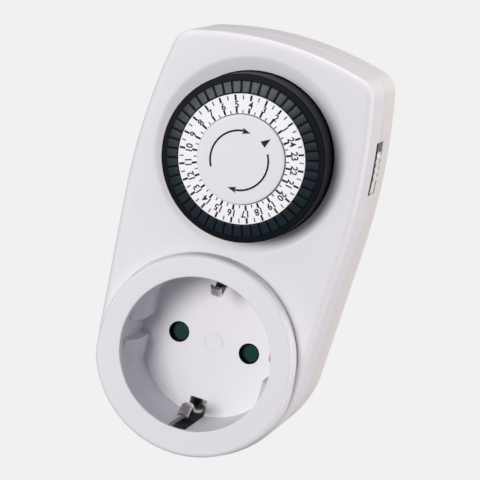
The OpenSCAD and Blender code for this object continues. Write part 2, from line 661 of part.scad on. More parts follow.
// Bronze leaf with its contact rivet
module switch_blade() color("#c08a4a") upright() {
    block([blade_x - blade_w / 2, blade_axis_y - 1.8, blade_z],
          [blade_x + blade_w / 2, contact_y + 1.2, blade_z + blade_t]);
    translate([blade_x, contact_y, blade_z - 0.8]) cylinder(r = 1.1, h = 0.9);
}
// Slider: ribbed face in the slot, flange behind the wall, and a ramp over the lever's tab
face_x = side_x - 0.6;
face_low = slot_low + slide_gap;
face_high = slot_high - slider_travel - slide_gap;
rib_mid = (slot_low + slot_high) / 2;
face_w = slot_w - 2 * slide_gap;
// the flange clears the bowed wall all the way up
flange_t = 0.95;
flange_lap = 1.4;
module override_slider() color("#e6e4e2") upright() {
    block([flange_x - flange_t, face_low, slot_z - face_w / 2], [face_x, face_high, slot_z + face_w / 2]);
    for (i = [0:rib_count - 1])
        translate([face_x - eps, rib_mid + (i - (rib_count - 1) / 2) * rib_pitch - 0.45, slot_z - face_w / 2 + 0.2])
            cube([1.1, 0.9, face_w - 0.4]);
    block([flange_x - flange_t, face_low - flange_lap, slot_z - slot_w / 2 - 0.8],
          [flange_x, face_high + flange_lap, slot_z + slot_w / 2 + 0.8]);
    // ramp: its lower face drops as the slider goes up
    translate([lever_x + 2.4, 0, 0]) rotate([90, 0, 90]) linear_extrude(flange_x - flange_t / 2 - lever_x - 2.4)
        polygon([[cam_y - slider_travel - 0.3, cam_level(cam_y - slider_travel - 0.3)],
            [cam_y + 1.6, cam_level(cam_y + 1.6)], [cam_y + 1.6, cam_level(cam_y + 1.6) + 1],
            [cam_y - slider_travel - 0.3, cam_level(cam_y + 1.6) + 1]]);
}
function cam_level(y) = lever_top + 0.15 + cam_slope * (y - cam_y);

// ================= wiring =================
resistor_c = [-18.5, 38];
module series_resistor() color("#b08d57") upright()
    translate([resistor_c[0], resistor_c[1], lead_z]) rotate([-90, 0, 0]) cylinder(r = 1.6, h = 9);
// insulated wire from the neutral bar to the resistor
lead_z = rear_in_z + 1.7;
lead_r = 0.5;
module motor_leads() color("#6b4a3a") upright()
    wire([[-pin_x, riser_y + strip_t, lead_z], [-pin_x, 20, lead_z], [-pin_x - 2, 24, lead_z],
        [resistor_c[0], 31, lead_z], [resistor_c[0], resistor_c[1], lead_z]], lead_r, 10);

front_shell();
rear_shell();
housing_screws();
shutter();
shutter_spring();
contact_carrier();
line_contact();
neutral_contact();
line_pin();
neutral_pin();
neutral_bar();
line_in_bar();
line_out_bar();
earth_clip_top();
earth_clip_bottom();
earth_bridge();
mechanism_plate();
mechanism_screws();
gear_arbors();
motor_case();
motor_cover();
motor_coil();
motor_rotor();
motor_gearbox();
motor_pinion();
second_gear();
third_gear();
dial_drum();
dial_scale();
centre_disc();
follower_lever();
lever_pin();
switch_blade();
override_slider();
motor_leads();
series_resistor();
for (h = [1:hours]) tappets(h);
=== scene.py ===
"""Looks of a mechanical plug-in timer switch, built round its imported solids.

Points are worked out in millimetres on the plug's axes: x to the right, y up the
housing and z out of the plug towards the viewer. row() carries them over.
"""

import math

import bpy
import numpy as np
from mathutils import Matrix, Vector


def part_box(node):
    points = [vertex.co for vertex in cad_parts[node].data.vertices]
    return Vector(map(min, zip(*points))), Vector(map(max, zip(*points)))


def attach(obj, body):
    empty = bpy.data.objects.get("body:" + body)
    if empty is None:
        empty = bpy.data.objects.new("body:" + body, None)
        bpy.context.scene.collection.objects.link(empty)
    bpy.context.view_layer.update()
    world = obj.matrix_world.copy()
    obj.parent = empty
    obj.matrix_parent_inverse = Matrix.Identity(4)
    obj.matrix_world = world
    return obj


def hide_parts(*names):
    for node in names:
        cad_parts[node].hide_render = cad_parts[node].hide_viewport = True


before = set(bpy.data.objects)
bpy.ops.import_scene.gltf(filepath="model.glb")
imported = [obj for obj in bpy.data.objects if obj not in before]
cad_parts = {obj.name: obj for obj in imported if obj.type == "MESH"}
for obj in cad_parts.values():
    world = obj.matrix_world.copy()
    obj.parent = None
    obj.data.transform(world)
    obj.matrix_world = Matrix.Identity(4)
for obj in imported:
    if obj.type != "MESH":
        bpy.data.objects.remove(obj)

bl_info = {
    "name": "Plug-in timer switch",
    "version": (1, 0, 0),
    "blender": (4, 5, 0),
    "location": "3D View > Sidebar > Timer",
    "description": "Housing, dial, socket, switch and plug of a mechanical timer",
    "category": "Add Mesh",
}

MM = 0.001
HOURS = 24
TAPPETS = 48
TURN = 360 / TAPPETS
# bearing of the first hour's figure on the dial, in degrees
ZERO = 50.2
# thickness of a printed mark
FILM = 0.03
# ring gear at the drum's back: teeth, radius at their feet and at their tips, bore, width
RING = 84, 20.3, 21.4, 19.6, 2.6
# radius of the bosses that the housing's screws run through
BOSS_R = 2.6
# distance of the earth clips from the plug's side
CLIP_IN = 1.4


# ---------------------------------------------------------------- sizes
def length(name, text, size):
    """A length property: size is in millimetres, the property holds metres."""
    return bpy.props.FloatProperty(
        name=name, description=text, default=size * MM, unit="LENGTH", precision=5)


def paint(name, text, code):
    """A colour property whose default is an sRGB hex code."""
    return bpy.props.FloatVectorProperty(
        name=name, description=text, default=linear(code), subtype="COLOR", min=0, max=1)


def linear(code):
    """sRGB hex to linear: below 0.04045 a twelfth, above it the 2.4 power."""
    v = np.array([int(code[i:i + 2], 16) for i in (1, 3, 5)]) / 255
    v = np.where(v <= 0.04045, v / 12.92, ((v + 0.055) / 1.055) ** 2.4)
    return tuple(float(x) for x in v)


class HousingSizes(bpy.types.PropertyGroup):
    """Outline and levels of the two shells"""
    top: length("Top", "Height of the top edge above the socket's axis", 79.7)
    bottom_r: length("Lower radius", "Radius of the round lower end", 26.8)
    side_y: length("Widest height", "Height at which the sides are widest", 42)
    side_r: length("Side radius", "Radius of the bowed upper sides", 157)
    top_r: length("Top radius", "Radius of the arched top", 84)
    corner_r: length("Corner radius", "Radius of the two upper corners", 5.5)
    lean: bpy.props.FloatProperty(
        name="Side lean", description="Lean of the straight sides", default=math.radians(3.4),
        subtype="ANGLE")
    back: length("Back level", "Level of the back face above the plug's face", 17)
    parting: length("Parting level", "Level of the line between the shells", 30)
    front: length("Front level", "Level of the front face", 43.5)
    wall: length("Wall", "Wall thickness", 2)
    front_edge: length("Front edge radius", "Radius of the rounded front edge", 1.7)
    edge: length("Rear edge radius", "Radius of the rounded rear edge", 1.4)
    groove: length("Parting groove", "Rounding of each shell's edge at the parting line", 0.22)
    crack: length("Parting crack", "Width of the crack between the shells at the sides", 0.2)
    crack_low: length("Lower crack", "Width of the crack round the lower end", 0.8)
    lap: length("Lap", "Distance of the rear shell's tongue from the outer skin", 1.3)


class SocketSizes(bpy.types.PropertyGroup):
    """Collar and recess of the socket"""
    collar: length("Collar level", "Level of the collar's face", 47.5)
    collar_r: length("Collar radius", "Radius of the collar's upper half", 25.1)
    collar_round: length("Collar rounding", "Rounding of the collar's outer edge", 1.1)
    recess_r: length("Recess radius", "Radius of the recess", 19.4)
    mouth_round: length("Mouth rounding", "Rounding of the recess's mouth", 0.35)
    floor: length("Floor level", "Level of the recess's floor", 30)
    floor_t: length("Floor thickness", "Thickness of the floor", 1.6)
    hole_r: length("Hole radius", "Radius of a contact hole", 2.7)
    spacing: length("Hole spacing", "Distance between the contact holes", 19)
    key_in: length("Key distance", "Distance of a keying block's face from the axis", 16.8)
    key_notch: length("Key notch", "Height of the notch between two blocks", 5.4)
    key_height: length("Key height", "Height over both blocks of a side", 20)
    clip_w: length("Clip width", "Width of an earth clip", 4)
    nose_w: length("Nose width", "Width of an earth clip at its nose", 2.8)


class DialSizes(bpy.types.PropertyGroup):
    """Drum, tappets, scale and disc"""
    height: length("Dial height", "Height of the dial's axis above the socket's", 51)
    face: length("Drum level", "Level of the drum's rim", 51)
    back: length("Drum back", "Level of the drum's back", 35)
    drum_r: length("Drum radius", "Radius of the drum", 20.6)
    rim_w: length("Rim width", "Width of the rim outside the tappets", 1.7)
    tappet_depth: length("Tappet depth", "Radial size of a tappet", 2.7)
    fin: length("Fin thickness", "Thickness of the fins between tappets", 0.28)
    cone: length("Cone", "Fall of the tappets' faces from the scale to the rim", 0.4)
    rim_down: length("Rim drop", "Depth of the rim below the drum level", 0.85)
    scale_r: length("Scale radius", "Radius of the scale ring", 15.9)
    scale_up: length("Scale rise", "Height of the scale's face above the drum level", 0.4)
    disc_up: length("Disc rise", "Height of the disc's face above the drum level", 1.3)
    disc_r: length("Disc radius", "Radius of the fixed centre disc", 10.9)
    dish_r: length("Dish radius", "Radius of the dish round the dial", 24.2)
    dish_depth: length("Dish depth", "Depth of the dish", 1.25)
    gap: length("Drum gap", "Gap round the drum", 0.3)
    digit: length("Digit size", "Height of the hour numbers", 1.62)
    arrow_r: length("Arrow radius", "Radius of the direction arrows", 7.27)
    arrow_w: length("Arrow line", "Width of the arrows' line", 0.47)


class SwitchSizes(bpy.types.PropertyGroup):
    """Override slider and its slot"""
    low: length("Slot foot", "Height of the slot's lower end", 48)
    high: length("Slot head", "Height of the slot's upper end", 61.3)
    level: length("Slot level", "Level of the slot's middle", 28.9)
    width: length("Slot width", "Width of the slider's seat", 5)
    crevice: length("Crevice", "Width of the dark crevice in front of the slider", 2.1)
    pitch: length("Rib pitch", "Distance between the grip ribs", 1.8)
    travel: length("Travel", "Travel of the slider", 2.6)
    gap: length("Slider gap", "Gap round the slider", 0.2)


class PlugSizes(bpy.types.PropertyGroup):
    """Plug behind the housing"""
    radius: length("Plug radius", "Radius of the round plug", 19)
    hollow_r: length("Hollow radius", "Radius of the hollow inside it", 14.6)
    pin_r: length("Pin radius", "Radius of a pin", 2.4)
    pin_len: length("Pin length", "Free length of a pin", 19)
    end_round: length("End rounding", "Rounding of the plug's end", 1.1)


class Finishes(bpy.types.PropertyGroup):
    """Colours of the moulded and metal pieces"""
    shell: paint("Shell", "Colour of the front shell", "#E4E2E7")
    shell_back: paint("Rear shell", "Colour of the rear shell", "#E1DEDD")
    dial: paint("Dial", "Colour of the drum", "#0B1013")
    tappet: paint("Tappets", "Colour of the tappets", "#101F29")
    scale: paint("Scale", "Colour of the scale ring", "#F2F1F4")
    disc: paint("Disc", "Colour of the centre disc", "#E1DFE4")
    ink: paint("Ink", "Colour of the printed marks", "#0C1622")
    slider: paint("Slider", "Colour of the override slider", "#EFEDEB")
    shutter: paint("Shutter", "Colour of the shutter", "#003833")
    nickel: paint("Nickel", "Colour of the nickel plating", "#DCD7D2")


GROUPS = {"timer_housing": HousingSizes, "timer_socket": SocketSizes, "timer_dial": DialSizes,
          "timer_switch": SwitchSizes, "timer_plug": PlugSizes, "timer_finish": Finishes}


class Millimetres:
    """Reads a property group's lengths in millimetres."""

    def __init__(self, group):
        self.group = group

    def __getattr__(self, key):
        return getattr(self.group, key) / MM


def sizes(name):
    """The sizes of one group, in millimetres."""
    return Millimetres(getattr(bpy.context.scene, "timer_" + name))


def finish():
    """The group of colours."""
    return bpy.context.scene.timer_finish


# ---------------------------------------------------------------- shapes
def row(points):
    """Plug's axes in millimetres to the row frame in metres: (x, y, z) becomes (x, -z, y)."""
    p = np.asarray(points, float)
    return np.stack([p[..., 0], -p[..., 2], p[..., 1]], -1) * MM


def polar(r, a):
    """Flat points at radius r and angle a in radians."""
    return np.stack([r * np.cos(a), r * np.sin(a)], -1)


def level(points, z):
    """Flat points (x, y) at level z, a number or one for each."""
    p = np.asarray(points, float)
    return np.concatenate([p, np.broadcast_to(z, p.shape[:-1])[..., None]], -1)


def arc(centre, r, a0, a1, n):
    """n points of a circle: centre plus r times (cos a, sin a), a even from a0 to a1 degrees."""
    return centre + polar(r, np.radians(np.linspace(a0, a1, n)))


def bearing(v):
    """Angle of a flat vector in degrees."""
    return math.degrees(math.atan2(v[1], v[0]))


def side_centre():
    """Centre of the right side's arc: its lower end meets the lower circle at the lean's angle."""
    h = sizes("housing")
    lean = bpy.context.scene.timer_housing.lean
    return np.array([(h.bottom_r - h.side_r + h.side_y * math.sin(lean)) / math.cos(lean), h.side_y])


def outline(inset=0.0):
    """Closed outline of the housing drawn in by inset: side arc, corner arc and top arc of the
    right half, the same mirrored, and the circle of the lower end. Every arc keeps its centre
    and loses inset from its radius, so equal indices lie opposite each other."""
    h = sizes("housing")
    side = side_centre()
    top = np.array([0, h.top - h.top_r])
    r1, r2 = h.side_r - h.corner_r, h.top_r - h.corner_r
    v = top - side
    d = float(np.hypot(*v))
    along = (d * d + r1 * r1 - r2 * r2) / (2 * d)
    across = math.sqrt(r1 * r1 - along * along)
    corner = side + along * v / d + across * np.array([-v[1], v[0]]) / d
    a, b = bearing(corner - side), bearing(corner - top)
    low = math.degrees(bpy.context.scene.timer_housing.lean)
    right = np.concatenate([
        arc(side, h.side_r - inset, -low, a, 26), arc(corner, h.corner_r - inset, a, b, 16)[1:],
        arc(top, h.top_r - inset, b, 90, 18)[1:]])
    left = right[::-1][1:] * (-1, 1)
    foot = arc((0, 0), h.bottom_r - inset, 180 + low, 360 - low, 73)
    return np.concatenate([right, left, foot[1:-1]])


def half_width(y):
    """Half width of the housing at height y: the side arc's centre plus its chord."""
    h = sizes("housing")
    return side_centre()[0] + math.sqrt(h.side_r ** 2 - (y - h.side_y) ** 2)


def rounded(points, radii, steps=5, closed=False):
    """A polyline whose corners are replaced by arcs that touch both sides: the arc's centre lies
    on the bisector at radius / sin(half angle) from the corner."""
    p = np.asarray(points, float)
    radii = np.broadcast_to(radii, len(p))
    out = []
    for i, r in enumerate(radii):
        if r <= 0 or (not closed and i in (0, len(p) - 1)):
            out.append(p[i:i + 1])
            continue
        a, b = p[i - 1] - p[i], p[(i + 1) % len(p)] - p[i]
        a, b = a / np.hypot(*a), b / np.hypot(*b)
        half = math.acos(float(np.clip(a @ b, -1, 1))) / 2
        centre = p[i] + (a + b) / np.hypot(*(a + b)) * r / math.sin(half)
        s, e = p[i] + a * r / math.tan(half) - centre, p[i] + b * r / math.tan(half) - centre
        t = np.linspace(0, 1, steps + 1)[:, None]
        w = math.pi - 2 * half
        out.append(centre + (np.sin((1 - t) * w) * s + np.sin(t * w) * e) / math.sin(w))
    return np.concatenate(out)


def loft(rings, closed=False):
    """Solid through rings of equal size, ring i joined to ring i + 1 by quads. closed joins the
    last ring to the first, otherwise both ends get a cap. Rings run anticlockwise seen from
    the side they climb to."""
    m, n = rings.shape[:2]
    i = np.arange(m if closed else m - 1)[:, None]
    j = np.arange(n)[None]
    k = (j + 1) % n
    up = (i + 1) % m
    quads = np.stack([i * n + j, i * n + k, up * n + k, up * n + j], -1).reshape(-1, 4).tolist()
    if not closed:
        quads += [list(range(n))[::-1], list(range((m - 1) * n, m * n))]
    return rings.reshape(-1, 3), quads


def lathe(profile, centre=(0, 0), n=96, closed=False):
    """Profile of (radius, level) turned round an axis along z through centre."""
    a = np.radians(np.arange(n) * 360 / n)[None]
    r, z = np.asarray(profile, float).T[..., None]
    return loft(level(centre + polar(r, a), z), closed)


def prism(points, z0, z1):
    """A flat loop of points, anticlockwise, carried from level z0 to z1."""
    return loft(np.stack([level(points, z) for z in (z0, z1)]))


def block(a, b):
    """Box between two opposite corners, in either order."""
    a, b = np.minimum(a, b), np.maximum(a, b)
    return prism([(a[0], a[1]), (b[0], a[1]), (b[0], b[1]), (a[0], b[1])], a[2], b[2])


def rod(r, z0, z1, centre=(0, 0), n=48):
    """Cylinder along z."""
    return lathe([(r, z0), (r, z1)], centre, n)


def rims(z0, z1, r, steps):
    """Levels and insets of a body whose lower and upper rim are rounded by r: at each angle it is
    drawn in by r (1 - sin) and lies r (1 - cos) inside its end."""
    t = np.radians(np.linspace(0, 90, steps + 1))
    inset, rise = r * (1 - np.sin(t)), r * (1 - np.cos(t))
    return zip(np.r_[z0 + rise, z1 - rise[::-1]], np.r_[inset, inset[::-1]])


def cushion(a, b, r, steps=4):
    """Box from corner a to corner b whose edges are rounded by r: rounded rectangles stacked."""
    rings = []
    for z, s in rims(a[2], b[2], r, steps):
        loop = [(a[0] + s, a[1] + s), (b[0] - s, a[1] + s), (b[0] - s, b[1] - s), (a[0] + s, b[1] - s)]
        rings.append(level(rounded(loop, max(r - s, 0.02), steps, True), z))
    return loft(np.stack(rings))


def joined(parts):
    """Several parts as one, with the faces' indices carried on."""
    points, faces, start = [], [], 0
    for p, f in parts:
        points.append(p)
        faces += [[v + start for v in face] for face in f]
        start += len(p)
    return np.concatenate(points), faces


def placed(name, data):
    """Object for a mesh, text, lamp or camera, linked to the scene."""
    obj = bpy.data.objects.new(name, data)
    bpy.context.scene.collection.objects.link(obj)
    return obj


def mesh_object(name, part):
    """Mesh object at the origin, with its place in its mesh, in the row frame."""
    points, faces = part
    mesh = bpy.data.meshes.new(name)
    mesh.from_pydata(row(points).tolist(), [], faces)
    return placed(name, mesh)


def coordinates(mesh):
    """Places of a mesh's vertices."""
    p = np.zeros(len(mesh.vertices) * 3)
    mesh.vertices.foreach_get("co", p)
    return p.reshape(-1, 3)


def evaluated(obj):
    """New mesh of an object with its modifiers or its text laid out."""
    return bpy.data.meshes.new_from_object(obj.evaluated_get(bpy.context.evaluated_depsgraph_get()))


def cut(piece, *parts, operation="DIFFERENCE"):
    """Cuts parts that don't overlap each other out of a piece, with the exact solver."""
    tool = mesh_object("tool", joined(parts))
    m = piece.modifiers.new("cut", "BOOLEAN")
    m.operation, m.solver, m.object = operation, "EXACT", tool
    old = piece.data
    made = evaluated(piece)
    if not len(made.polygons):
        raise RuntimeError(f"{piece.name} was cut away")
    piece.modifiers.clear()
    piece.data = made
    made.name = piece.name
    bpy.data.meshes.remove(old)
    bpy.data.meshes.remove(tool.data)


def weld(piece, *parts):
    """Adds parts that don't overlap each other to a piece."""
    cut(piece, *parts, operation="UNION")


def dress(piece, body, slot, nodes=(), crease=32, other=None):
    """Smooth shading with creases, the slot's look or another, the body it rides on and the nodes
    it stands for. Thin prints have flat faces, which need no even shading."""
    mesh = piece.data
    mesh.shade_smooth()
    mesh.set_sharp_from_angle(angle=math.radians(crease))
    mesh.materials.clear()
    mesh.materials.append(look(other or slot))
    if other not in ("ink", "thin_ink"):
        m = piece.modifiers.new("even shading", "WEIGHTED_NORMAL")
        m.keep_sharp, m.weight = True, 70
    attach(piece, body)
    if nodes:
        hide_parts(*nodes)


# ---------------------------------------------------------------- materials
def add(tree, kind, sockets=None, **settings):
    """One node, its settings, and its sockets: a value is set, a socket is linked."""
    n = tree.nodes.new(kind)
    for key, value in settings.items():
        setattr(n, key, value)
    for key, value in (sockets or {}).items():
        if isinstance(value, bpy.types.NodeSocket):
            tree.links.new(value, n.inputs[key])
        else:
            n.inputs[key].default_value = value
    return n


def rgba(colour):
    """A colour with full cover."""
    return (*colour, 1.0)


def surface(name, colour, roughness, ior=1.5, metallic=0.0, mottle=0.03, cloud=0.02,
            grain=0.3, bump=0.02, brushed=None, specular=0.5):
    """Moulded or plated surface. mottle: share by which a cloud of the given size in metres
    darkens the colour. grain: size of the texture in millimetres, which also varies the
    roughness. bump: the texture's height in hundredths of a millimetre. brushed: stretch of
    the pattern along the three axes."""
    mat = bpy.data.materials.get(name)
    if mat:
        return mat
    mat = bpy.data.materials.new(name)
    mat.use_nodes = True
    t = mat.node_tree
    t.nodes.clear()
    place = add(t, "ShaderNodeTexCoord").outputs["Object"]
    if brushed:
        place = add(t, "ShaderNodeMapping", {"Vector": place, "Scale": brushed}).outputs[0]

    def noise(scale, detail, low, high):
        """A noise, and the same spread over a range."""
        n = add(t, "ShaderNodeTexNoise", {"Vector": place, "Scale": scale, "Detail": detail})
        spread = {"Value": n.outputs["Fac"], "From Min": 0.3, "From Max": 0.7,
                  "To Min": low, "To Max": high}
        return n.outputs["Fac"], add(t, "ShaderNodeMapRange", spread).outputs[0]

    tone = noise(1 / cloud, 3.0, 1 - mottle, 1.0)[1]
    fine, rough = noise(1000 / grain, 2.0, roughness - 0.06, roughness + 0.06)
    shade = add(t, "ShaderNodeMix", {"Factor": 1.0, "A": rgba(colour), "B": tone},
                data_type="RGBA", blend_type="MULTIPLY")
    relief = add(t, "ShaderNodeBump", {"Height": fine, "Strength": 1.0, "Distance": bump * 1e-5})
    shader = add(t, "ShaderNodeBsdfPrincipled", {
        "Base Color": shade.outputs["Result"], "Roughness": rough, "Metallic": metallic,
        "Normal": relief.outputs[0]})
    if not metallic:
        shader.inputs["IOR"].default_value = ior
        shader.inputs["Specular IOR Level"].default_value = specular
    add(t, "ShaderNodeOutputMaterial", {"Surface": shader.outputs[0]})
    return mat


# name of the real material, colour (a finish or a hex code), roughness and other settings of each
# look; a row's key is the look that dress() gives its pieces, or says what else wears it
LOOKS = {
    # white ABS moulded in a fine-blasted tool: an even skin with a soft sheen
    "white_abs": ("abs_satin_moulded", "shell", 0.5,
                  dict(ior=1.53, mottle=0.02, grain=0.35, bump=1.2, specular=0.35)),
    # the same ABS, a touch warmer, darker and less polished than the front shell
    "shell_back": ("abs_rear_moulded", "shell_back", 0.52,
                   dict(ior=1.53, mottle=0.025, grain=0.35, bump=1.6, specular=0.35)),
    # black moulded polyamide: deep colour with a satin reflection
    "dial_black": ("polyamide_black_moulded", "dial", 0.4,
                   dict(ior=1.53, mottle=0.12, grain=0.25, bump=1.0, specular=0.04)),
    # slate acetal: slides well, and its waxy face takes soft blue-grey highlights
    "tappet_slate": ("acetal_slate_moulded", "tappet", 0.34,
                     dict(ior=1.48, mottle=0.15, cloud=0.004, grain=0.2, bump=2.0, specular=0.22)),
    # white ring, matt enough that the printed figures read without glare
    "scale_white": ("abs_scale_matt", "scale", 0.5, dict(mottle=0.012, grain=0.25, bump=0.8)),
    # centre disc, matt ABS of a shade greyer than the scale
    "disc_white": ("abs_disc_matt", "disc", 0.46, dict(mottle=0.012, grain=0.25, bump=0.8)),
    # pad-printed ink: blue-black and slightly uneven in cover
    "ink": ("pad_print_ink", "ink", 0.6, dict(mottle=0.25, cloud=0.0015, bump=0.4, specular=0.2)),
    # the same ink where the fine lines print thinner and greyer
    "thin_ink": ("pad_print_ink_thin", "#4A525C", 0.55, dict(mottle=0.3, cloud=0.0015, bump=0.4)),
    # painted shade: dark taupe, quite matt plates that line the slider's slot and stand for the shade
    # in the crevice in front of the slider
    "lining": ("insulating_fibre", "#4B4142", 0.7, dict(mottle=0.2, cloud=0.003, bump=2)),
    # slider of white acetal, a touch brighter than the shell
    "slider_white": ("acetal_white_moulded", "slider", 0.38,
                     dict(ior=1.48, mottle=0.02, grain=0.3, bump=1)),
    # dark green polyamide of the contact shutter, glossy
    "shutter_green": ("polyamide_green_moulded", "shutter", 0.25,
                      dict(ior=1.53, mottle=0.15, grain=0.3, bump=1.5, specular=0.2)),
    # nickel-plated spring bronze: bright, with faint drawing lines along the strip
    "nickel": ("nickel_plate_drawn", "nickel", 0.27,
               dict(metallic=1.0, mottle=0.1, cloud=0.004, grain=0.6, bump=0.25, brushed=(1, 0.15, 1))),
    # zinc-plated steel: pale grey, with the cloudy bloom of the plating
    "zinc_steel": ("zinc_plated_steel", "#B9BCC0", 0.32,
                   dict(metallic=1.0, mottle=0.12, cloud=0.003, bump=1.0)),
    # rolled brass strip: warm, with faint rolling lines
    "brass": ("brass_rolled", "#C9A24C", 0.3,
              dict(metallic=1.0, mottle=0.15, cloud=0.004, brushed=(1, 0.2, 1))),
    # phosphor bronze spring: redder and brighter than brass
    "bronze": ("bronze_spring", "#B97B45", 0.28, dict(metallic=1.0, mottle=0.12, cloud=0.004)),
    # natural acetal gears: milky cream, waxy
    "acetal": ("acetal_natural", "#E6E1D2", 0.4, dict(ior=1.48, mottle=0.04, cloud=0.005)),
    # glass-filled carrier: grey and matt with visible fibres
    "carrier": ("polyamide_glass_filled", "#C4C5C0", 0.55,
                dict(ior=1.53, mottle=0.08, cloud=0.002, brushed=(1, 3, 1))),
    # enamelled copper winding: orange-brown, wires show as fine rings
    "copper": ("copper_enamelled", "#A4561F", 0.3,
               dict(metallic=1.0, mottle=0.3, cloud=0.0015, brushed=(0.3, 4, 0.3))),
    # ferrite rotor: dark grey, sintered
    "ferrite": ("ferrite_sintered", "#35353A", 0.6, dict(ior=2.0, mottle=0.2, cloud=0.002, bump=4)),
    # lacquered resistor body: beige
    "lacquer": ("resistor_lacquer", "#B28F5C", 0.35, dict(mottle=0.1, cloud=0.003)),
    # PVC insulation: brown and slightly soft
    "pvc": ("pvc_insulation", "#6B4A3A", 0.45, dict(ior=1.53, mottle=0.08, cloud=0.003)),
}


def look(key):
    """Material of a row of LOOKS."""
    name, colour, roughness, settings = LOOKS[key]
    colour = linear(colour) if colour[0] == "#" else getattr(finish(), colour)
    return surface(name, colour, roughness, **settings)


# ---------------------------------------------------------------- housing
def shell_rings(profile):
    """Profile of (inset, level) carried round the housing's outline."""
    return np.stack([level(outline(s), z) for s, z in profile])


def collar_rings(profile):
    """Profile of (distance outside the collar, level) carried round the collar. Its upper half has
    the collar's radius; below, the radius grows towards the outline by the smooth step of the sine."""
    h, s = sizes("housing"), sizes("socket")
    a = np.radians(np.arange(144) * 2.5)
    t = np.clip((0.1 - np.sin(a)) / 0.5, 0, 1)
    r = s.collar_r + (h.bottom_r - 0.65 - s.collar_r) * t * t * (3 - 2 * t)
    return np.stack([level(polar(r + q, a), z) for q, z in profile])


def dial_centre():
    """Dial's axis."""
    return (0.0, sizes("dial").height)


def boss_spots():
    """Axes of the four screw bosses."""
    y = sizes("dial").height + 19.5
    return [(s * x, v) for s in (1, -1) for x, v in ((19.5, y), (21.2, 17.5))]


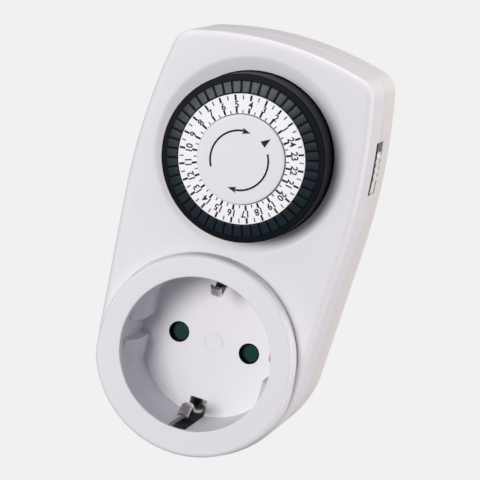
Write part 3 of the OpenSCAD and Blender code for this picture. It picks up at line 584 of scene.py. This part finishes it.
class TIMER_OT_front_housing(bpy.types.Operator):
    """Front half of the housing with its dish, collar, recess and keying blocks"""
    bl_idname = "timer.front_housing"
    bl_label = "Front housing"

    def execute(self, context):
        h, s, d, w = map(sizes, ("housing", "socket", "dial", "switch"))
        z0, g, e = h.parting + h.crack, h.groove, h.front_edge
        # skin: edge groove, wall, rounded front edge and a ring of the flat face
        skin = rounded([(g, z0), (0, z0 + g), (0, h.front), (e + 1, h.front)], [0, 0.15, e, 0], 10)
        piece = mesh_object("front_housing", loft(shell_rings(skin)))
        c = s.collar_r
        collar = [(0.05, h.front - 1.6), (-0.15, s.collar), (-4, s.collar)]
        weld(piece, loft(collar_rings(rounded(collar, [0, s.collar_round, 0], 8))))
        # fine line at the collar's foot, which fades at both ends
        a = np.radians(np.linspace(9, 171, 109))[:, None]
        q = c + np.array([-0.04, -0.04, 0.24, 0.2])
        f = h.front + np.stack([-0.3 * np.sin(a[:, 0]) ** 0.2, 0.1 + 0 * a[:, 0]], -1)[:, [0, 1, 1, 0]]
        cut(piece, loft(level(polar(q, a), f)))
        # hollow behind the front face, and behind the collar's face
        cut(piece, rod(c - h.wall, z0 - 3, s.collar - h.wall - 0.4, n=96))
        lap = h.lap - 0.1
        cut(piece, loft(shell_rings([(lap, z0 - 2), (lap, z0 + 1.3), (h.wall, z0 + 1.3),
                                     (h.wall, h.front - h.wall)])))
        well = s.recess_r + 1.5
        weld(piece, rod(well, s.floor - s.floor_t, s.collar - 1, n=96),
             rod(d.dish_r + 0.5, h.front - d.dish_depth - 1.7, h.front - 1, dial_centre(), 96),
             *[rod(BOSS_R, h.parting + 0.3, h.front - 1, p, 24) for p in boss_spots()])
        # recess with a rounded mouth and a tight corner at the floor
        m, rr = s.mouth_round, s.recess_r
        mouth = np.concatenate([[(rr - 1.5, s.floor)], arc((rr - 0.3, s.floor + 0.3), 0.3, -90, 0, 4),
                                arc((rr + m, s.collar - m), m, 180, 96, 8), [(rr + m, s.collar + 2)]])
        cut(piece, lathe(mouth, n=144))
        # dish: a shallow cone whose rim rolls over into the front face
        o, f = d.drum_r + d.gap, h.front
        dish = np.concatenate([[(o, h.parting - 2), (o, f - d.dish_depth)],
                               arc((d.dish_r + 0.6, f - 3), 3, 111.5, 96, 8),
                               [(d.dish_r + 0.7, f + 2)]])
        cut(piece, lathe(dish, dial_centre(), 144))
        side = half_width((w.low + w.high) / 2)
        x, cw = s.spacing / 2, s.clip_w / 2 + 0.3
        cut(piece, *[rod(s.hole_r, s.floor - 3, s.floor + 1, (k * x, 0), 48) for k in (1, -1)],
            *[rod(1.25, h.parting - 1, h.parting + 7, p, 20) for p in boss_spots()],
            *[block((-cw, k * 15, s.floor - 5), (cw, k * (well + 1), s.collar - 0.8)) for k in (1, -1)],
            # slot of the slider and the small notches at its two ends
            block((side - 5, w.low, h.parting - 2),
                  (side + 3, w.high, w.level + w.width / 2 + w.crevice)),
            block((side - 1.5, w.low - 2.2, z0 - 1), (side + 3, w.low - 0.5, z0 + 0.35)),
            block((side - 1.8, w.high + 0.9, z0 - 1), (side + 3, w.high + 1.8, z0 + 0.35)))
        # fine ring of the ejector in the floor's middle
        r0, r1, deep = 2.3, 2.42, s.floor - 0.12
        cut(piece, lathe([(r0, deep), (r1, deep), (r1, s.floor + 1), (r0, s.floor + 1)],
                         n=48, closed=True))
        # keying blocks, with a slanted lead-in towards the mouth
        ki, kt = s.key_in, s.collar - 3.2
        ko, foot = rr + 0.8, s.floor - 0.5
        slope = np.array([(ki, foot), (ko, foot), (ko, kt), (ki + 1.9, kt), (ki, kt - 4)])
        blocks = []
        for k in (1, -1):
            for up in (1, -1):
                y0, y1 = sorted((up * s.key_notch / 2, up * s.key_height / 2))
                rings = np.stack([level(slope * (k, 1), y)[:, [0, 2, 1]] for y in (y0, y1)])
                blocks.append(loft(rings if k < 0 else rings[::-1]))
        weld(piece, *blocks)
        # the crack to the rear shell widens round the lower end by the smooth step of the height
        p = coordinates(piece.data)
        edge = np.abs(-p[:, 1] / MM - z0 - g / 2) < g / 2 + 0.05
        low = np.clip((24 - p[:, 2] / MM) / 40, 0, 1) * edge
        p[:, 1] -= (h.crack_low - h.crack) * low ** 2 * (3 - 2 * low) * MM
        piece.data.vertices.foreach_set("co", p.ravel())
        dress(piece, "housing", "white_abs", ["front_shell"])
        return {"FINISHED"}


class TIMER_OT_rear_housing(bpy.types.Operator):
    """Rear half of the housing with the round plug body"""
    bl_idname = "timer.rear_housing"
    bl_label = "Rear housing"

    def execute(self, context):
        h, s, d, w, p = map(sizes, ("housing", "socket", "dial", "switch", "plug"))
        e, g = h.edge, h.groove
        skin = rounded([(e + 1, h.back), (0, h.back), (0, h.parting - g), (g, h.parting),
                        (h.lap, h.parting), (h.lap, h.parting + 1.1)], [0, e, 0.15, 0, 0, 0], 10)
        piece = mesh_object("rear_housing", loft(shell_rings(skin)))
        cut(piece, loft(shell_rings([(h.wall, h.back + h.wall), (h.wall, h.parting + 2)])))
        # plug: rounded end, straight side, small fillet at its root
        r = p.radius
        body = rounded([(r - 3, 0), (r, 0), (r, h.back + 1)], [0, p.end_round, 0], 8)
        weld(piece, lathe(body, n=144))
        # bosses of the housing's screws, and posts that carry the mechanism's plate
        posts = [(x, d.height + y) for x, y in ((-19.5, 7), (12, 16.5), (5, -23.5))]
        weld(piece, *[rod(BOSS_R, h.back + 1, h.parting, q, 24) for q in boss_spots()],
             *[rod(2.2, h.back + 1, h.parting - 1.6, q, 24) for q in posts])
        x, cw, cy = s.spacing / 2, s.clip_w / 2, p.radius - CLIP_IN
        cut(piece, rod(p.hollow_r, 2.5, h.parting + 4, n=96))
        holes = [rod(p.pin_r + 0.2, -1, 4, (k * x, 0), 40) for k in (1, -1)]
        for k in (1, -1):
            # channel of the earth clip, and the keying groove at the plug's side
            holes.append(block((-cw - 0.5, k * (cy - 1.2), -1),
                               (cw + 0.5, k * (p.radius + 1), h.back - 1)))
            holes.append(block((k * 16.9, -2.6, -1), (k * (p.radius + 1), 2.6, h.back)))
        # stepped bores of the housing's screws
        bore = [(2, h.back - 1), (2, h.back + 2.2), (1.5, h.back + 2.2), (1.5, h.parting + 1)]
        cut(piece, *holes, *[lathe(bore, q, 32) for q in boss_spots()])
        side = half_width((w.low + w.high) / 2)
        cut(piece, block((side - 5, w.low, w.level - w.width / 2), (side + 3, w.high, h.parting + 2)),
            *[block((-cw - 0.3, k * (cy - 1.2), h.back - 2), (cw + 0.3, k * (cy + 0.9), h.back + 3))
              for k in (1, -1)])
        dress(piece, "housing", "shell_back", ["rear_shell"])
        return {"FINISHED"}


class TIMER_OT_screws(bpy.types.Operator):
    """Housing screws with slotted round heads"""
    bl_idname = "timer.screws"
    bl_label = "Housing screws"

    def execute(self, context):
        b = sizes("housing").back
        # the head faces the wall: a dome over a cylinder, then the shank
        head = np.concatenate([arc((0, b + 2.4), 2.0, 280, 335, 6),
                               [(1.9, b + 2.2), (1.2, b + 2.2), (1.2, b + 18)]])
        piece = mesh_object("housing_screw_set", joined([lathe(head, q, 40) for q in boss_spots()]))
        cut(piece, *[block((q[0] - 0.25, q[1] - 2.2, b), (q[0] + 0.25, q[1] + 2.2, b + 1.2))
                     for q in boss_spots()])
        dress(piece, "housing", "zinc_steel", ["housing_screws"])
        return {"FINISHED"}


# ---------------------------------------------------------------- dial
def wedge(gap):
    """Loop of a tappet between two fins: at radius r its half width is r tan(half pitch) less
    half a fin and the gap."""
    d = sizes("dial")
    out = d.drum_r - d.rim_w
    r = np.array([out - d.tappet_depth + gap - 0.1, out - gap + 0.1])
    w = r * math.tan(math.radians(TURN / 2)) - d.fin / 2 - gap
    return np.array([(r[0], -w[0]), (r[1], -w[1]), (r[1], w[1]), (r[0], w[0])])


def turned(points, degrees):
    """Flat points turned about the dial's axis, which lies at the dial's height."""
    a = math.radians(degrees)
    p = np.asarray(points, float)
    x = p[:, 0] * math.cos(a) - p[:, 1] * math.sin(a)
    y = p[:, 0] * math.sin(a) + p[:, 1] * math.cos(a)
    return np.stack([x, y + sizes("dial").height], -1)


class TIMER_OT_drum(bpy.types.Operator):
    """Black drum: rim, cage for the tappets, hub and the ring of teeth at its back"""
    bl_idname = "timer.drum"
    bl_label = "Dial drum"

    def execute(self, context):
        d = sizes("dial")
        rim, top, back = d.drum_r - d.rim_w + 0.1, d.face, d.back
        low = top - d.rim_down
        inner = d.drum_r - d.rim_w - d.tappet_depth - 1
        seat = d.scale_r + 0.05
        turn = rounded(
            [(d.drum_r, back), (d.drum_r, low), (rim, low + 0.05), (rim - 0.12, top - d.cone - 0.1),
             (seat, top - 0.12), (seat, top - 1.2), (5, top - 1.2), (5, back), (7, back), (7, top - 3),
             (inner, top - 3), (inner, back)],
            [0.2, 0.3, 0.08, 0.06, 0.05, 0, 0.2, 0, 0, 0, 0, 0], 5, True)
        piece = mesh_object("dial_cage", lathe(turn, dial_centre(), 192, True))
        cut(piece, *[prism(turned(wedge(0), TURN * (i + 0.5)), back - 1, top + 1)
                     for i in range(TAPPETS)])
        # ring of teeth of module 0.5 behind the cage: each has four corners, at angles in degrees
        count, foot, tip, bore, wide = RING
        a = np.radians((np.arange(count)[:, None] * 360 / count + [-1.15, -0.5, 0.5, 1.15]).ravel())
        r = np.tile([foot, tip, tip, foot], count)
        teeth, hole = polar(r, a) + (0, d.height), polar(bore, a) + (0, d.height)
        ring = np.stack([level(teeth, back), level(teeth, back + wide),
                         level(hole, back + wide), level(hole, back)])
        gear = mesh_object("dial_gear", loft(ring, True))
        dress(piece, "dial", "dial_black", ["dial_drum"], 30)
        dress(gear, "dial", "dial_black")
        return {"FINISHED"}


class TIMER_OT_tappets(bpy.types.Operator):
    """Forty-eight half-hour tappets, two for each hour"""
    bl_idname = "timer.tappets"
    bl_label = "Tappets"

    def execute(self, context):
        d = sizes("dial")
        face, tip, out = d.face + 0.15, d.back + 1.2, d.drum_r - d.rim_w
        near = out - d.tappet_depth
        # rings from foot to face: the last ones are drawn in to round the edge of the face, and
        # fall with the radius r by cone (r - near) / (out - near)
        steps = [(0.04, tip + 2.3), (0.04, face - 0.25), (0.07, face - 0.1), (0.2, face)]
        for h in range(HOURS):
            parts = []
            for i in range(2):
                at = TURN * (6 + 2 * h + i + 0.5)
                rings = []
                for s, z in steps:
                    loop = rounded(wedge(s), 0.16, 3, True)
                    fall = d.cone * (np.hypot(*loop.T) - near) / d.tappet_depth * (z > face - 1)
                    rings.append(level(turned(loop, at), z - fall))
                parts.append(loft(np.stack(rings)))
                foot = [(near + 0.5, -0.45), (out - 0.5, -0.45), (out - 0.5, 0.45), (near + 0.5, 0.45)]
                parts.append(prism(turned(foot, at), tip, tip + 2.4))
            name = f"tappets_hour_{h + 1:02d}"
            piece = mesh_object(f"tappet_pair_{h + 1:02d}", joined(parts))
            dress(piece, name, "tappet_slate", [name], 40)
        return {"FINISHED"}


def printed(name, loops, z, body, film="ink"):
    """Print: flat loops raised by a film's thickness."""
    piece = mesh_object(name, joined([prism(p, z, z + FILM) for p in loops]))
    dress(piece, body, "dial_black", other=film)


def figures(name, places, size, z, body):
    """Numbers as a mesh: each text's outline is laid out from its middle, turned so that its
    top faces outwards, and set at its place (text, radius, degrees)."""
    parts = []
    for words, r, at in places:
        curve = bpy.data.curves.new("figure", "FONT")
        # the font's figures are 0.7 of its size high
        curve.body, curve.size, curve.extrude, curve.resolution_u = words, size / 0.7, FILM / 2, 3
        curve.align_x, curve.align_y, curve.space_character = "CENTER", "CENTER", 1.0
        curve.offset = 0.05
        text = placed("figure", curve)
        mesh = evaluated(text)
        p = coordinates(mesh)
        flat = turned(np.stack([p[:, 1] + r, -p[:, 0] * 0.98], -1), at)
        parts.append((level(flat, p[:, 2] + z + FILM / 2), [list(f.vertices) for f in mesh.polygons]))
        bpy.data.objects.remove(text)
        bpy.data.curves.remove(curve)
        bpy.data.meshes.remove(mesh)
    dress(mesh_object(name, joined(parts)), body, "dial_black", other="ink")


class TIMER_OT_scale(bpy.types.Operator):
    """White scale ring with its hour figures and ticks"""
    bl_idname = "timer.scale"
    bl_label = "Hour scale"

    def execute(self, context):
        d = sizes("dial")
        top, r1, r0 = d.face + d.scale_up, d.scale_r, d.disc_r + 0.2
        ring = rounded([(r1, top - 1), (r1, top), (r0, top), (r0, top - 1)],
                       [0, 0.12, 0.12, 0], 4, True)
        piece = mesh_object("scale_ring", lathe(ring, dial_centre(), 144, True))
        dress(piece, "dial", "scale_white", ["dial_scale"])
        marks = {0: [], 1: []}
        for i in range(TAPPETS):
            # each line as (inner radius, outer radius, half width), outside and inside the figures
            for a, b, w in (((r1 - 1.6, r1 - 0.2, 0.25), (r0 + 0.12, r0 + 1.4, 0.25)),
                            ((r1 - 1.4, r1 - 0.35, 0.15), (r0 + 0.12, r0 + 0.85, 0.15)))[i % 2]:
                marks[i % 2].append(turned([(a, -w), (b, -w), (b, w), (a, w)], ZERO + i * TURN))
        printed("hour_ticks", marks[0], top, "dial")
        printed("half_hour_ticks", marks[1], top, "dial", "thin_ink")
        places = [(str(h + 1), (r0 + r1) / 2 - 0.25, ZERO - 0.8 + h * 15) for h in range(HOURS)]
        figures("scale_figures", places, d.digit, top, "dial")
        return {"FINISHED"}


class TIMER_OT_centre_disc(bpy.types.Operator):
    """Fixed centre disc with two direction arrows and a pointer"""
    bl_idname = "timer.centre_disc"
    bl_label = "Centre disc"

    def execute(self, context):
        d = sizes("dial")
        low, top, r = d.face - 0.7, d.face + d.disc_up, d.disc_r
        stem = rounded([(1.98, low - 7.3), (1.98, low - 0.2), (4.8, low - 0.2), (4.8, low), (r, low),
                        (r, top), (r - 1, top)], [0, 0, 0, 0, 0, 0.22, 0], 5)
        piece = mesh_object("centre_disc_top", lathe(stem, dial_centre(), 144))
        dress(piece, "housing", "disc_white", ["centre_disc"])
        w, c = d.arrow_w / 2, d.arrow_r
        loops = []
        for half in (0, 180):
            # a band along the circle, then a slim head whose tip is bent onto the circle
            a0, a1 = 96 + half, 208 + half
            band = np.concatenate([arc((0, 0), c + w, a0, a1, 40), arc((0, 0), c - w, a1, a0, 40)])
            a = np.radians(np.array([81, 98.5, 95.3, 98.5]) + half)
            q = np.array([c - 0.08, c + 0.77, c, c - 0.77])
            loops += [turned(band, 0), turned(polar(q, a), 0)]
        loops.append(turned([(9.5, 0), (7.05, 0.9), (7.05, -0.9)], 49))
        # the print sits a little off the disc's middle
        printed("disc_marks", [p + (-0.22, -0.25) for p in loops], top, "housing")
        return {"FINISHED"}


# ---------------------------------------------------------------- socket, switch and plug
def strip(line, width, thick, k, narrow):
    """A flat strip along a smooth line of (distance from the axis, level), k being 1 for up and
    -1 for down: the line is refined by Catmull-Rom, offset by half the thickness to both sides
    and given rounded long edges. narrow: (levels, shares) by which the width shrinks, where
    the strip also bows: its long edges bend away from the axis by the square of the width."""
    p = np.asarray(line, float)
    q = np.concatenate([[2 * p[0] - p[1]], p, [2 * p[-1] - p[-2]]])
    t = np.linspace(0, 1, 9)[:-1, None, None]
    a, b, c, e = q[:-3], q[1:-2], q[2:-1], q[3:]
    path = 0.5 * (2 * b + (c - a) * t + (2 * a - 5 * b + 4 * c - e) * t ** 2
                  + (3 * b - a - 3 * c + e) * t ** 3)
    path = np.concatenate([path.transpose(1, 0, 2).reshape(-1, 2), p[-1:]])
    step = np.gradient(path, axis=0)
    normal = np.stack([step[:, 1], -step[:, 0]], -1) / np.hypot(*step.T)[:, None]
    w, h = width / 2, thick / 2
    inner = np.linspace(-w, w, 8)[1:-1]
    flat = np.concatenate([[(-w, -h)], level(inner[:, None], -h), [(w, -h), (w, h)],
                           level(inner[::-1, None], h), [(-w, h)]])
    radii = [h * 0.7 if abs(v[0]) == w else 0 for v in flat]
    cross = rounded(flat, radii, 3, True)
    share = np.interp(path[:, 1], *narrow)
    bow = 1.6 * (1 - share)[:, None] * (cross[None, :, 0] / w) ** 2
    at = path[:, None] + normal[:, None] * (cross[None, :, 1] + bow)[..., None]
    rings = np.stack([share[:, None] * cross[None, :, 0], k * at[..., 0], at[..., 1]], -1)
    return loft(rings if k > 0 else rings[:, ::-1])


class TIMER_OT_earth_clips(bpy.types.Operator):
    """Sprung earth clips at the top and bottom of the recess"""
    bl_idname = "timer.earth_clips"
    bl_label = "Earth clips"

    def execute(self, context):
        s, y = sizes("socket"), sizes("plug").radius - CLIP_IN
        f = s.floor
        line = [(y, 3), (y, 10), (y, 20), (y, f - 1), (y - 0.1, f + 3), (y - 1.3, f + 7),
                (y - 2.8, f + 9.2), (y - 3.2, f + 10.4), (y - 2.7, f + 11.6), (y - 0.8, f + 13.4)]
        narrow = (f + 3, f + 8), (1, s.nose_w / s.clip_w)
        for k, word in ((1, "top"), (-1, "bottom")):
            piece = mesh_object("earth_spring_" + word, strip(line, s.clip_w, 0.8, k, narrow))
            dress(piece, "housing", "nickel", ["earth_clip_" + word], 50)
        return {"FINISHED"}


class TIMER_OT_shutter(bpy.types.Operator):
    """Green shutter behind the contact holes"""
    bl_idname = "timer.shutter"
    bl_label = "Shutter"

    def execute(self, context):
        lo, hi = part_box("shutter")
        z0, z1 = -hi.y / MM, -lo.y / MM
        piece = mesh_object("shutter_wing", cushion((-13, -3.4, z0), (13, 3.4, z1), 0.45))
        weld(piece, lathe(rounded([(4, z0), (4, z1), (2, z1)], [0, 0.3, 0], 4), n=48))
        cut(piece, rod(1.56, z0 - 1, z1 + 1, n=40))
        dress(piece, "shutter", "shutter_green", ["shutter"])
        s = sizes("socket")
        # painted shade: black rings that line the lower half of each contact hole, where its wall lies
        # in shade
        shade_profile = rounded([(s.hole_r - 0.01, s.floor - s.floor_t), (s.hole_r - 0.01, s.floor - 0.12),
                       (s.hole_r - 0.4, s.floor - 0.5), (s.hole_r - 0.4, s.floor - s.floor_t)],
                      [0, 0.03, 0.1, 0], 3, True)
        shade_rings = [lathe(shade_profile, (k * s.spacing / 2, 0), 64, True) for k in (1, -1)]
        dress(mesh_object("hole_lips", joined(shade_rings)), "housing", "dial_black")
        return {"FINISHED"}


def tongue(inner, low, high, z0, z1, sink, r):
    """Plate that follows the housing's side, sunk below it: rounded like a cushion, its outer
    edge at the half width of each height less sink and the inset."""
    rings = []
    for z, inset in rims(z0, z1, r, 3):
        y = np.linspace(low + inset, high - inset, 12)
        x = np.array([half_width(v) for v in y]) - sink - inset
        loop = np.concatenate([[(inner, y[0])], np.stack([x, y], -1), [(inner, y[-1])]])
        rings.append(level(loop, z))
    return loft(np.stack(rings))


class TIMER_OT_slider(bpy.types.Operator):
    """Override slider with its grip ribs, flange and ramp"""
    bl_idname = "timer.slider"
    bl_label = "Override slider"

    def execute(self, context):
        w, h = sizes("switch"), sizes("housing")
        flange = half_width(w.high + 1.4) - h.wall - w.gap
        low, high, half = w.low + w.gap, w.high - w.travel - w.gap, w.width / 2 - w.gap
        mid, z = (w.low + w.high) / 2, w.level
        foot = flange - 0.95
        piece = mesh_object("slider_face", tongue(foot, low, high, z - half, z + half - 0.8, 0.2, 0.2))
        ribs = []
        for i in range(4):
            y = mid + (i - 1.5) * w.pitch
            ribs.append(cushion((flange - 0.5, y - 0.47, z - half + 0.7),
                                (half_width(y) + 0.2, y + 0.47, z + half - 0.05), 0.25))
        weld(piece, *ribs)
        weld(piece, cushion((foot, low - 1.4, z - w.width / 2 - 0.8),
                            (flange, high + 1.4, z + w.width / 2 + 0.8), 0.15))
        # ramp that lifts the follower lever, from the lever to the middle of the flange
        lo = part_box("override_slider")[0]
        y0, y1, top = 52.5, 57.0, -lo.y / MM
        ramp = np.array([(y0, top - 2.9), (y1, top - 1.0), (y1, top - 0.01), (y0, top - 0.01)])
        rings = np.stack([level(ramp, x)[:, [2, 0, 1]] for x in (lo.x / MM, flange - 0.475)])
        weld(piece, loft(rings))
        dress(piece, "override_slider", "slider_white", ["override_slider"])
        front = z + w.width / 2
        end, deep, head = front + w.crevice, flange - 1.35, w.high + 2
        # a plate under the flange hides the works when the slider is down, and its foot meets the wall
        shelf = [(deep, w.high - 1.7), (flange - 1.1, w.high - 1.7), (flange - 1.1, head),
                 (flange + 0.3, head), (flange + 0.3, head + 0.6), (deep, head + 0.6)]
        # painted shade: dark plates in the crevice in front of the slider and under its flange
        lining = mesh_object("slot_lining", joined([
            tongue(flange + 0.1, w.low - 0.03, w.high + 0.03, front - 0.1, front + 0.5, 0.03, 0.05),
            tongue(flange + 0.1, w.low - 0.03, w.high + 0.03, front + 0.5, end + 0.03, 0.9, 0),
            prism(shelf, z - half - 0.5, end)]))
        dress(lining, "housing", "dial_black", other="lining")
        return {"FINISHED"}


class TIMER_OT_pins(bpy.types.Operator):
    """Round plug pins with their collars and rivets"""
    bl_idname = "timer.pins"
    bl_label = "Plug pins"

    def execute(self, context):
        p, x = sizes("plug"), sizes("socket").spacing / 2
        r, n = p.pin_r, p.pin_len
        line = [(0.5, -n), (r, -n), (r, 0), (r + 0.18, 0), (r + 0.18, 2.5), (r + 0.8, 2.5),
                (r + 0.8, 4.5), (1.4, 4.5), (1.4, 5.8), (0.5, 5.8)]
        for k, word in ((1, "line"), (-1, "neutral")):
            shape = lathe(rounded(line, [0, 1.5, 0, 0, 0, 0.15, 0.15, 0, 0.4, 0], 7), (k * x, 0), 64)
            piece = mesh_object(word + "_plug_pin", shape)
            dress(piece, "housing", "nickel", [word + "_pin"], 40)
        return {"FINISHED"}


class TIMER_OT_inner_finishes(bpy.types.Operator):
    """Finishes of the mechanism, the contacts and the wiring inside"""
    bl_idname = "timer.inner_finishes"
    bl_label = "Inner finishes"

    def execute(self, context):
        for key, nodes in (
                ("zinc_steel", "mechanism_screws gear_arbors motor_case motor_cover lever_pin"
                               " shutter_spring earth_bridge"),
                ("brass", "line_contact neutral_contact neutral_bar line_in_bar line_out_bar"
                          " motor_pinion"),
                ("bronze", "switch_blade"),
                ("acetal", "third_gear second_gear mechanism_plate motor_gearbox follower_lever"),
                ("carrier", "contact_carrier"), ("copper", "motor_coil"), ("ferrite", "motor_rotor"),
                ("lacquer", "series_resistor"), ("pvc", "motor_leads")):
            for n in nodes.split():
                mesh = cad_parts[n].data
                mesh.materials.clear()
                mesh.materials.append(look(key))
        return {"FINISHED"}


class TIMER_OT_stage(bpy.types.Operator):
    """Pale floor and backdrop, soft light, and the camera"""
    bl_idname = "timer.stage"
    bl_label = "Stage"

    def execute(self, context):
        scene = context.scene
        # floor that curves up into a backdrop: a profile of (depth, height) carried sideways
        line = rounded([(-4, 0), (4, 0), (4, 3)], [0, 1.5, 0], 16) - (0, 0.14)
        sheet = np.concatenate([level(line, x)[:, [2, 0, 1]] for x in (-5, 5)])
        n = len(line)
        j = np.arange(n - 1)
        mesh = bpy.data.meshes.new("floor")
        mesh.from_pydata(sheet.tolist(), [], np.stack([j, n + j, n + j + 1, j + 1], -1).tolist())
        mesh.shade_smooth()
        placed("floor", mesh)
        # both the paper and the room show the camera an even pale tone, and light the object softly
        mat = bpy.data.materials.new("paper_backdrop")
        mesh.materials.append(mat)
        scene.world = bpy.data.worlds.new("studio")
        pale = rgba(linear("#F1F1F1"))
        paper, room = (rgba(linear(code)) for code in ("#8C8C90", "#D3DAEA"))
        for owner, lit, shown, last in (
                (mat, ("ShaderNodeBsdfDiffuse", {"Color": paper}),
                 "ShaderNodeEmission", "ShaderNodeOutputMaterial"),
                (scene.world, ("ShaderNodeBackground", {"Color": room, "Strength": 0.28}),
                 "ShaderNodeBackground", "ShaderNodeOutputWorld")):
            owner.use_nodes = True
            t = owner.node_tree
            t.nodes.clear()
            seen = add(t, "ShaderNodeLightPath").outputs["Is Camera Ray"]
            dim = add(t, *lit)
            glow = add(t, shown, {"Color": pale, "Strength": 1.0})
            mix = add(t, "ShaderNodeMixShader", {0: seen, 1: dim.outputs[0], 2: glow.outputs[0]})
            add(t, last, {"Surface": mix.outputs[0]})

        # lamps: name, place and aim in metres, size in metres, watts, tint
        for name, place, aim, size, power, tint in (
                ("key", (-0.36, -1.2, 0.22), (0, 0, 0.03), 0.5, 9.2, "#FFFDFB"),
                ("second_key", (-0.58, -1.16, -0.03), (0, 0, 0.03), 0.5, 3.6, "#FFFDFB"),
                ("side", (1.1, 0.16, 0.1), (0, 0, 0.02), 0.6, 10.0, "#FFFAF4"),
                ("top", (0.0, 0.1, 1.1), (0, 0, 0.03), 0.6, 7.6, "#FFF8F4")):
            lamp = bpy.data.lights.new(name, "AREA")
            lamp.shape, lamp.size, lamp.energy, lamp.color = "DISK", size, power, linear(tint)
            obj = placed(name, lamp)
            obj.location = place
            # its back looks away from the aim
            obj.rotation_euler = (Vector(place) - Vector(aim)).to_track_quat("Z", "Y").to_euler()

        camera = bpy.data.cameras.new("camera")
        # focal length in pixels of the 480-pixel frame, times the sensor's share of a pixel
        camera.sensor_width, camera.lens = 36, 2560.1 * 36 / 480
        obj = placed("camera", camera)
        # the picture's right, its up and the way back from the object, as the photo was taken
        axes = np.array([(0.93159, 0.26658, 0.24713), (-0.28975, 0.13402, 0.94767),
                         (0.21951, -0.95445, 0.20209)])
        m = Matrix(axes.T.tolist()).to_4x4()
        m.translation = (0.14094, -0.64355, 0.15729)
        obj.matrix_world = m
        camera.clip_start, camera.clip_end = 0.05, 20
        scene.camera = obj
        scene.view_settings.view_transform = "Standard"
        return {"FINISHED"}


OPERATORS = (
    TIMER_OT_stage, TIMER_OT_front_housing, TIMER_OT_rear_housing, TIMER_OT_screws, TIMER_OT_drum,
    TIMER_OT_tappets, TIMER_OT_scale, TIMER_OT_centre_disc, TIMER_OT_earth_clips, TIMER_OT_shutter,
    TIMER_OT_slider, TIMER_OT_pins, TIMER_OT_inner_finishes)


class TIMER_PT_panel(bpy.types.Panel):
    """Lists the pieces of the timer in the sidebar"""
    bl_idname = "TIMER_PT_panel"
    bl_label = "Plug-in timer switch"
    bl_space_type = "VIEW_3D"
    bl_region_type = "UI"
    bl_category = "Timer"

    def draw(self, context):
        for op in OPERATORS:
            self.layout.operator(op.bl_idname)
        for key, group in GROUPS.items():
            box = self.layout.box()
            for prop in group.__annotations__:
                box.prop(getattr(context.scene, key), prop)


def register():
    for group in GROUPS.values():
        bpy.utils.register_class(group)
    for key, group in GROUPS.items():
        setattr(bpy.types.Scene, key, bpy.props.PointerProperty(type=group))
    for cls in (*OPERATORS, TIMER_PT_panel):
        bpy.utils.register_class(cls)


def unregister():
    for cls in (TIMER_PT_panel, *reversed(OPERATORS)):
        bpy.utils.unregister_class(cls)
    for key in GROUPS:
        delattr(bpy.types.Scene, key)
    for group in GROUPS.values():
        bpy.utils.unregister_class(group)


def main():
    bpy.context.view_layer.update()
    register()
    for op in OPERATORS:
        group, name = op.bl_idname.split(".")
        getattr(getattr(bpy.ops, group), name)()


if __name__ == "__main__":
    main()
